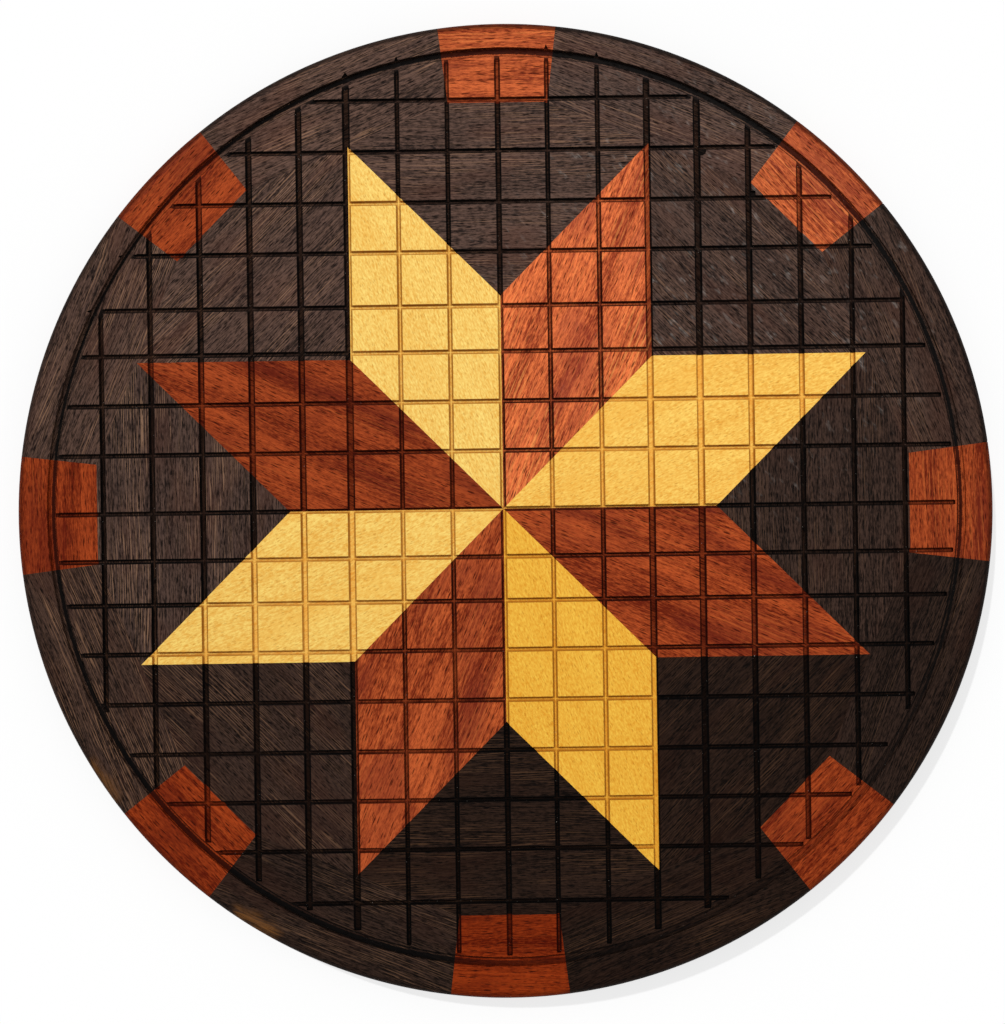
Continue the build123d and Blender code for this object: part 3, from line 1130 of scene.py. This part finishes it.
@dataclass
class Feet:
    """The square tapered rubber feet under the rim.

    Attributes:
        names: Name of each foot.
        bearings: Where each lies, in degrees.
        place_radius: How far out they lie, in metres.
        side: Side of a foot where it is stuck on, in metres.
        height: Its height in metres.
        taper: How far its sides lean in, in degrees.
        corner: Radius of its upright corners, in metres.
        edge: Radius of its lower edge, in metres.
    """

    names: tuple[str, ...] = ("ene", "nnw", "wsw", "sse")
    bearings: tuple[float, ...] = (22.5, 112.5, 202.5, 292.5)
    place_radius: float = 222.0 * MILLIMETRE
    side: float = 15.0 * MILLIMETRE
    height: float = 4.0 * MILLIMETRE
    taper: float = 20.0
    corner: float = 1.8 * MILLIMETRE
    edge: float = 0.6 * MILLIMETRE

    def select(self, upright: bool) -> None:
        """Selects the upright edges, or the edges round the lower face, of the foot being edited."""
        mesh = bpy.context.active_object.data
        bpy.ops.object.mode_set(mode="OBJECT")
        for edge in mesh.edges:
            low, high = sorted(mesh.vertices[index].co.z for index in edge.vertices)
            edge.select = high - low > self.height / 2 if upright else high < self.height / 4
        bpy.ops.object.mode_set(mode="EDIT")

    def pattern(self) -> bpy.types.Object:
        """Models one foot over the origin."""
        deselect()
        stretch = self.height / self.side
        bpy.ops.mesh.primitive_cube_add(
            size=self.side, location=(0.0, 0.0, self.height / 2), scale=(1.0, 1.0, stretch)
        )
        bpy.ops.object.transform_apply(location=True, rotation=True, scale=True)
        foot = bpy.context.active_object
        bpy.ops.object.mode_set(mode="EDIT")
        bpy.ops.mesh.select_mode(type="EDGE")
        bpy.ops.mesh.select_all(action="DESELECT")
        self.select(upright=True)
        bpy.ops.mesh.bevel(offset=self.corner, segments=5, profile=0.5)
        self.select(upright=False)
        narrow = 1 - 2 * self.height * math.tan(math.radians(self.taper)) / self.side
        bpy.ops.transform.resize(value=(narrow, narrow, 1.0))
        bpy.ops.mesh.bevel(offset=self.edge, segments=3, profile=0.5)
        bpy.ops.object.mode_set(mode="OBJECT")
        finish_mesh(foot, 35.0)
        return foot

    def build(self) -> None:
        """Copies the foot to its places."""
        pattern = self.pattern()
        rubber = Rubber().material()
        for name, bearing in zip(self.names, self.bearings):
            deselect()
            foot = pattern.copy()
            foot.data = pattern.data.copy()
            foot.name = foot.data.name = "rubber_foot_" + name
            bpy.context.scene.collection.objects.link(foot)
            turn = math.radians(bearing)
            foot.location = (self.place_radius * math.cos(turn), self.place_radius * math.sin(turn), 0.0)
            foot.rotation_euler = (0.0, 0.0, turn)
            make_active(foot)
            bpy.ops.object.transform_apply(location=True, rotation=True, scale=True)
            give_material(foot, rubber)
            stand_for(foot, "rubber_feet")
            log.info("placed %s", foot.name)
        bpy.data.objects.remove(pattern)


@dataclass
class Studio:
    """White floor, soft light from all round, a broad soft lamp, a weak crisp one, and the camera overhead.

    Attributes:
        photo_width: Width of the photo in pixels.
        photo_height: Height of the photo in pixels.
        board_middle: Where the board's middle is in the photo, in pixels.
        board_radius: The board's radius in the photo, in pixels.
        roll: How far the board is turned in the photo, in degrees, against the clock.
        camera_height: Height of the camera above the floor, in metres.
        sky: Share of the light that comes from all round.
        horizon: How bright the surroundings are at the horizon against overhead.
        soft_share: Share that comes from the broad lamp.
        soft_place: Where the broad lamp hangs, in metres.
        soft_size: Its side in metres.
        crisp_share: Share that comes from the crisp lamp.
        crisp_height: The crisp lamp's height above the horizon in degrees.
        crisp_bearing: Where it shines from, in degrees from the X axis.
        crisp_angle: How wide it looks from the board, in degrees.
        floor_side: Side of the floor in metres.
        floor_share: How much of the light the floor shows, so that it keeps the shadow.
        floor_white: How white the floor is where no shadow falls.
        floor_bounce: How much light the floor throws back at the board.
        floor_fibre: How much more of it the lightest fibres of the paper throw back.
    """

    photo_width: int = 1005
    photo_height: int = 1024
    board_middle: tuple[float, float] = (505.6, 510.8)
    board_radius: float = 487.2
    roll: float = 0.85
    camera_height: float = 0.75
    sky: float = 0.34
    horizon: float = 0.08
    soft_share: float = 0.38
    soft_place: tuple[float, float, float] = (0.19, 0.39, 0.9)
    soft_size: float = 0.35
    crisp_share: float = 0.28
    crisp_height: float = 54.0
    crisp_bearing: float = 125.0
    crisp_angle: float = 2.0
    floor_side: float = 8.0
    floor_share: float = 0.5
    floor_white: float = 1.0
    floor_bounce: float = 0.2
    floor_fibre: float = 0.04

    def seen(self, graph: Graph) -> Socket:
        """1 for a ray by which a thing is looked at, straight, mirrored or through glass, otherwise 0."""
        path = graph.add("ShaderNodeLightPath").outputs
        mirrored = graph.math("MAXIMUM", path["Is Glossy Ray"], path["Is Transmission Ray"])
        return graph.math("MAXIMUM", path["Is Camera Ray"], mirrored)

    def floor(self) -> bpy.types.Object:
        """Lays the floor, which the camera sees as white paper with the board's shadow on it."""
        deselect()
        bpy.ops.mesh.primitive_plane_add(size=self.floor_side, location=(0.0, 0.0, 0.0))
        floor = bpy.context.active_object
        floor.name = "floor"
        material, graph, shader = new_material("floor_paper")
        fibre = graph.noise(board_position(graph), (30.0, 30.0, 30.0), 2.0)
        shade = graph.math("MULTIPLY_ADD", fibre, self.floor_fibre, self.floor_bounce)
        paper = graph.add("ShaderNodeCombineColor", {0: shade, 1: shade, 2: shade}).outputs[0]
        seen = self.seen(graph)
        shown = (self.floor_share, self.floor_share, self.floor_share, 1.0)
        graph.feed(shader.inputs["Base Color"], graph.mix(seen, paper, shown))
        shader.inputs["Roughness"].default_value = 0.9
        shader.inputs["Specular IOR Level"].default_value = 0.0
        shader.inputs["Emission Color"].default_value = (1.0, 1.0, 1.0, 1.0)
        lit = self.floor_share * (self.sky + self.crisp_share)
        glow = graph.times(seen, self.floor_white - lit)
        graph.feed(shader.inputs["Emission Strength"], glow)
        give_material(floor, material)
        return floor

    def world(self) -> None:
        """Sets the white surroundings, whose light is stronger from overhead than from the horizon."""
        world = bpy.data.worlds.new("surroundings")
        bpy.context.scene.world = world
        world.use_nodes = True
        graph = Graph(world.node_tree)
        seen = self.seen(graph)
        background = world.node_tree.nodes["Background"]
        background.inputs["Color"].default_value = (1.0, 1.0, 1.0, 1.0)
        height = graph.apart(graph.add("ShaderNodeTexCoord").outputs["Generated"])[2]
        height = graph.math("MAXIMUM", height, 0.0)
        overhead = self.sky / (self.horizon + (1.0 - self.horizon) * 2 / 3)
        shed = graph.math("MULTIPLY_ADD", height, overhead * (1.0 - self.horizon), overhead * self.horizon)
        graph.feed(background.inputs["Strength"], graph.fade(seen, 0.0, 1.0, shed, 1.0))

    def hang(self, lamp: bpy.types.Light, place: Vector) -> bpy.types.Object:
        """Hangs a lamp at a place, aimed at the board's middle."""
        hung = bpy.data.objects.new(lamp.name, lamp)
        bpy.context.scene.collection.objects.link(hung)
        hung.location = place
        hung.rotation_euler = place.to_track_quat("Z", "Y").to_euler()
        return hung

    def lamps(self, floor: bpy.types.Object) -> None:
        """Hangs the broad lamp and the crisp one, at strengths that give their shares of the light.

        Args:
            floor: The floor, which the broad lamp leaves alone, as the photo's floor has one crisp shadow.
        """
        soft = bpy.data.lights.new("soft_lamp", "AREA")
        soft.size = self.soft_size
        place = Vector(self.soft_place)
        upright = place.z / place.length
        soft.energy = self.soft_share * math.pi ** 2 * place.length_squared / upright
        shaded = bpy.data.collections.new("unlit_by_soft_lamp")
        shaded.objects.link(floor)
        self.hang(soft, place).light_linking.receiver_collection = shaded
        shaded.collection_objects[0].light_linking.link_state = "EXCLUDE"
        crisp = bpy.data.lights.new("crisp_lamp", "SUN")
        crisp.angle = math.radians(self.crisp_angle)
        height, bearing = math.radians(self.crisp_height), math.radians(self.crisp_bearing)
        crisp.energy = self.crisp_share * math.pi / math.sin(height)
        level = math.cos(height)
        place = Vector((level * math.cos(bearing), level * math.sin(bearing), math.sin(height)))
        self.hang(crisp, place)

    def camera(self) -> None:
        """Hangs the camera over the board so that the outline falls where the photo has it."""
        low, high = cad_box
        radius = (high[0] - low[0]) / 2
        widest = high[2] - Board.roundover
        scale = radius / self.board_radius
        aside = (self.photo_width / 2 - self.board_middle[0]) * scale
        up = (self.board_middle[1] - self.photo_height / 2) * scale
        lens = bpy.data.cameras.new("camera")
        lens.sensor_width = 36.0
        lens.angle = 2 * math.atan(self.photo_height * scale / 2 / (self.camera_height - widest))
        lens.clip_start = 0.01
        camera = bpy.data.objects.new("camera", lens)
        bpy.context.scene.collection.objects.link(camera)
        turn = Euler((0.0, 0.0, -math.radians(self.roll)))
        place = turn.to_matrix() @ Vector((aside, up, 0.0))
        camera.location = (place.x, place.y, self.camera_height)
        camera.rotation_euler = turn
        bpy.context.scene.camera = camera

    def build(self) -> None:
        """Sets up floor, light and camera."""
        floor = self.floor()
        self.world()
        self.lamps(floor)
        self.camera()
        bpy.context.scene.view_settings.view_transform = "Standard"


def main() -> None:
    """Builds the looks and the studio."""
    logging.basicConfig(level=logging.INFO, format="%(name)s: %(message)s")
    Board().build()
    Tongues().build()
    Feet().build()
    Studio().build()


if __name__ == "__main__":
    main()
